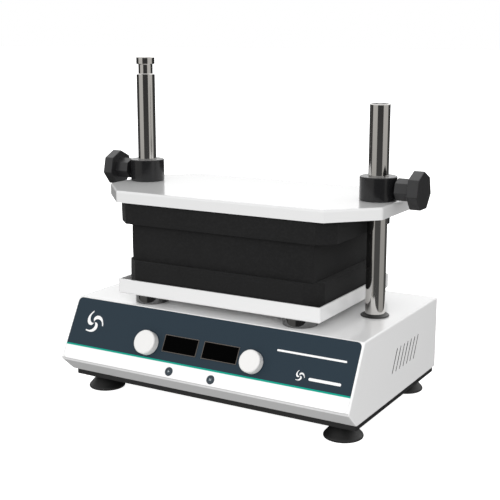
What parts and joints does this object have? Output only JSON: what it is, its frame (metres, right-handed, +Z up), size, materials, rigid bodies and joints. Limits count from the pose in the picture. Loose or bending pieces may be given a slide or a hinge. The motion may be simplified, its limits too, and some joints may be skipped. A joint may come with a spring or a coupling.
{
  "type": "vortex mixer",
  "caption": "Multi-tube vortex mixer: white casing with a sloping control panel, foam tube rack on an orbiting tray, and a clamp plate that slides on two polished poles.",
  "frame": {"origin": "on the floor, under the middle of the bounding box", "axes": "+X along the width, to the right seen from the front; the front faces -Y; +Z up"},
  "size_m": [0.468, 0.2833, 0.4438],
  "materials": {
    "white_enamel": "satin",
    "foot_rubber": "matte",
    "seal_rubber": "satin",
    "black_paint": "satin",
    "printed_sheet": "satin",
    "display_window": "gloss",
    "circuit_board": "satin",
    "dark_steel": "satin",
    "black_plastic": "satin",
    "white_plastic": "satin",
    "button_plastic": "satin",
    "polished_steel": "polished",
    "plain_steel": "satin",
    "cast_aluminium": "satin",
    "black_foam": "matte",
    "belt_rubber": "matte",
    "brass": "satin",
    "supply_case": "satin"
  },
  "bodies": {
    "base": {"base_plate": "black_paint", "casing": "white_enamel", "foot_front_left": "foot_rubber", "foot_front_right": "foot_rubber", "foot_rear_left": "foot_rubber", "foot_rear_right": "foot_rubber", "front_overlay": "printed_sheet", "display_left": "display_window", "display_right": "display_window", "control_board": "circuit_board", "encoder_left": "dark_steel", "encoder_right": "dark_steel", "power_inlet": "black_plastic", "switch_frame": "black_plastic", "drive_motor": "dark_steel", "motor_bracket": "plain_steel", "power_supply": "supply_case", "drive_housing": "cast_aluminium", "shaft_bearing_lower": "plain_steel", "shaft_bearing_upper": "plain_steel", "idler_housing_left": "cast_aluminium", "idler_housing_right": "cast_aluminium", "drive_belt": "belt_rubber"},
    "drive_crank": {"eccentric_shaft": "plain_steel", "driven_pulley": "cast_aluminium", "counterweight": "plain_steel"},
    "motor_rotor": {"motor_shaft": "plain_steel", "motor_pulley": "cast_aluminium"},
    "left_idler": {"idler_crank_left": "plain_steel"},
    "right_idler": {"idler_crank_right": "plain_steel"},
    "platform": {"moving_frame": "cast_aluminium", "platform_bearing": "plain_steel", "tray_post_front_left": "polished_steel", "tray_post_front_right": "polished_steel", "tray_post_rear_left": "polished_steel", "tray_post_rear_right": "polished_steel", "pole_left": "polished_steel", "pole_right": "polished_steel", "pole_seal_left": "seal_rubber", "pole_seal_right": "seal_rubber", "tray": "white_enamel", "rack_lower_block": "black_foam", "rack_upper_block": "black_foam"},
    "clamp": {"clamp_plate": "white_enamel", "clamp_cushion": "black_foam", "collar_left": "black_plastic", "collar_right": "black_plastic", "collar_nut_left": "black_plastic", "collar_nut_right": "black_plastic"},
    "left_pad": {"clamp_pad_left": "brass"},
    "right_pad": {"clamp_pad_right": "brass"},
    "left_clamp_knob": {"clamp_knob_left": "black_plastic"},
    "right_clamp_knob": {"clamp_knob_right": "black_plastic"},
    "time_control": {"time_dial": "white_plastic"},
    "speed_control": {"speed_dial": "white_plastic"},
    "left_button": {"button_left": "button_plastic"},
    "right_button": {"button_right": "button_plastic"},
    "mains_rocker": {"power_rocker": "black_plastic"},
    "fuse_holder": {"fuse_drawer": "black_plastic"}
  },
  "joints": [
    {"name": "crank_spin", "type": "hinge", "parent": "base", "child": "drive_crank", "pos_m": [-0.0018, 0.0137, 0.07], "axis": [0, 0, 1], "continuous": true},
    {"name": "platform_orbit", "type": "hinge", "parent": "drive_crank", "child": "platform", "pos_m": [0, 0.0137, 0.108], "axis": [0, 0, 1], "continuous": true},
    {"name": "motor_spin", "type": "hinge", "parent": "base", "child": "motor_rotor", "pos_m": [-0.08, 0.085, 0.07], "axis": [0, 0, 1], "continuous": true},
    {"name": "left_idler_spin", "type": "hinge", "parent": "base", "child": "left_idler", "pos_m": [-0.1418, 0.0137, 0.06], "axis": [0, 0, 1], "continuous": true},
    {"name": "right_idler_spin", "type": "hinge", "parent": "base", "child": "right_idler", "pos_m": [0.1382, 0.0137, 0.06], "axis": [0, 0, 1], "continuous": true},
    {"name": "clamp_slide", "type": "slide", "parent": "platform", "child": "clamp", "axis": [0, 0, 1], "range_m": [0, 0.085]},
    {"name": "left_pad_slide", "type": "slide", "parent": "clamp", "child": "left_pad", "axis": [-1, 0, 0], "range_m": [0, 0.00187]},
    {"name": "left_clamp_knob_turn", "type": "hinge", "parent": "left_pad", "child": "left_clamp_knob", "pos_m": [-0.2202, 0.0137, 0.289], "axis": [-1, 0, 0], "range_deg": [0, 540]},
    {"name": "right_pad_slide", "type": "slide", "parent": "clamp", "child": "right_pad", "axis": [1, 0, 0], "range_m": [0, 0.00187]},
    {"name": "right_clamp_knob_turn", "type": "hinge", "parent": "right_pad", "child": "right_clamp_knob", "pos_m": [0.2202, 0.0137, 0.289], "axis": [1, 0, 0], "range_deg": [0, 540]},
    {"name": "time_dial_turn", "type": "hinge", "parent": "base", "child": "time_control", "pos_m": [-0.0802, -0.1215, 0.08574], "axis": [0, -0.8786, 0.4775], "continuous": true},
    {"name": "speed_dial_turn", "type": "hinge", "parent": "base", "child": "speed_control", "pos_m": [0.075, -0.1215, 0.08574], "axis": [0, -0.8786, 0.4775], "continuous": true},
    {"name": "left_button_press", "type": "slide", "parent": "base", "child": "left_button", "axis": [0, 0.8786, -0.4775], "range_m": [0, 0.0005], "stiffness_N_per_m": 800, "springref_m": -0.0003},
    {"name": "right_button_press", "type": "slide", "parent": "base", "child": "right_button", "axis": [0, 0.8786, -0.4775], "range_m": [0, 0.0005], "stiffness_N_per_m": 800, "springref_m": -0.0003},
    {"name": "mains_rocker_tilt", "type": "hinge", "parent": "base", "child": "mains_rocker", "pos_m": [-0.118, 0.1386, 0.078], "axis": [-1, 0, 0], "range_deg": [0, 14]},
    {"name": "fuse_drawer_pull", "type": "slide", "parent": "base", "child": "fuse_holder", "axis": [0, 1, 0], "range_m": [0, 0.014]}
  ],
  "couplings": [
    {"joint": "crank_spin", "follows": "platform_orbit", "ratio": -1},
    {"joint": "left_idler_spin", "follows": "platform_orbit", "ratio": -1},
    {"joint": "right_idler_spin", "follows": "platform_orbit", "ratio": -1},
    {"joint": "motor_spin", "follows": "platform_orbit", "ratio": -2.125},
    {"joint": "left_clamp_knob_turn", "follows": "left_pad_slide", "rad_per_m": 5026.5},
    {"joint": "right_clamp_knob_turn", "follows": "right_pad_slide", "rad_per_m": 5026.5}
  ]
}
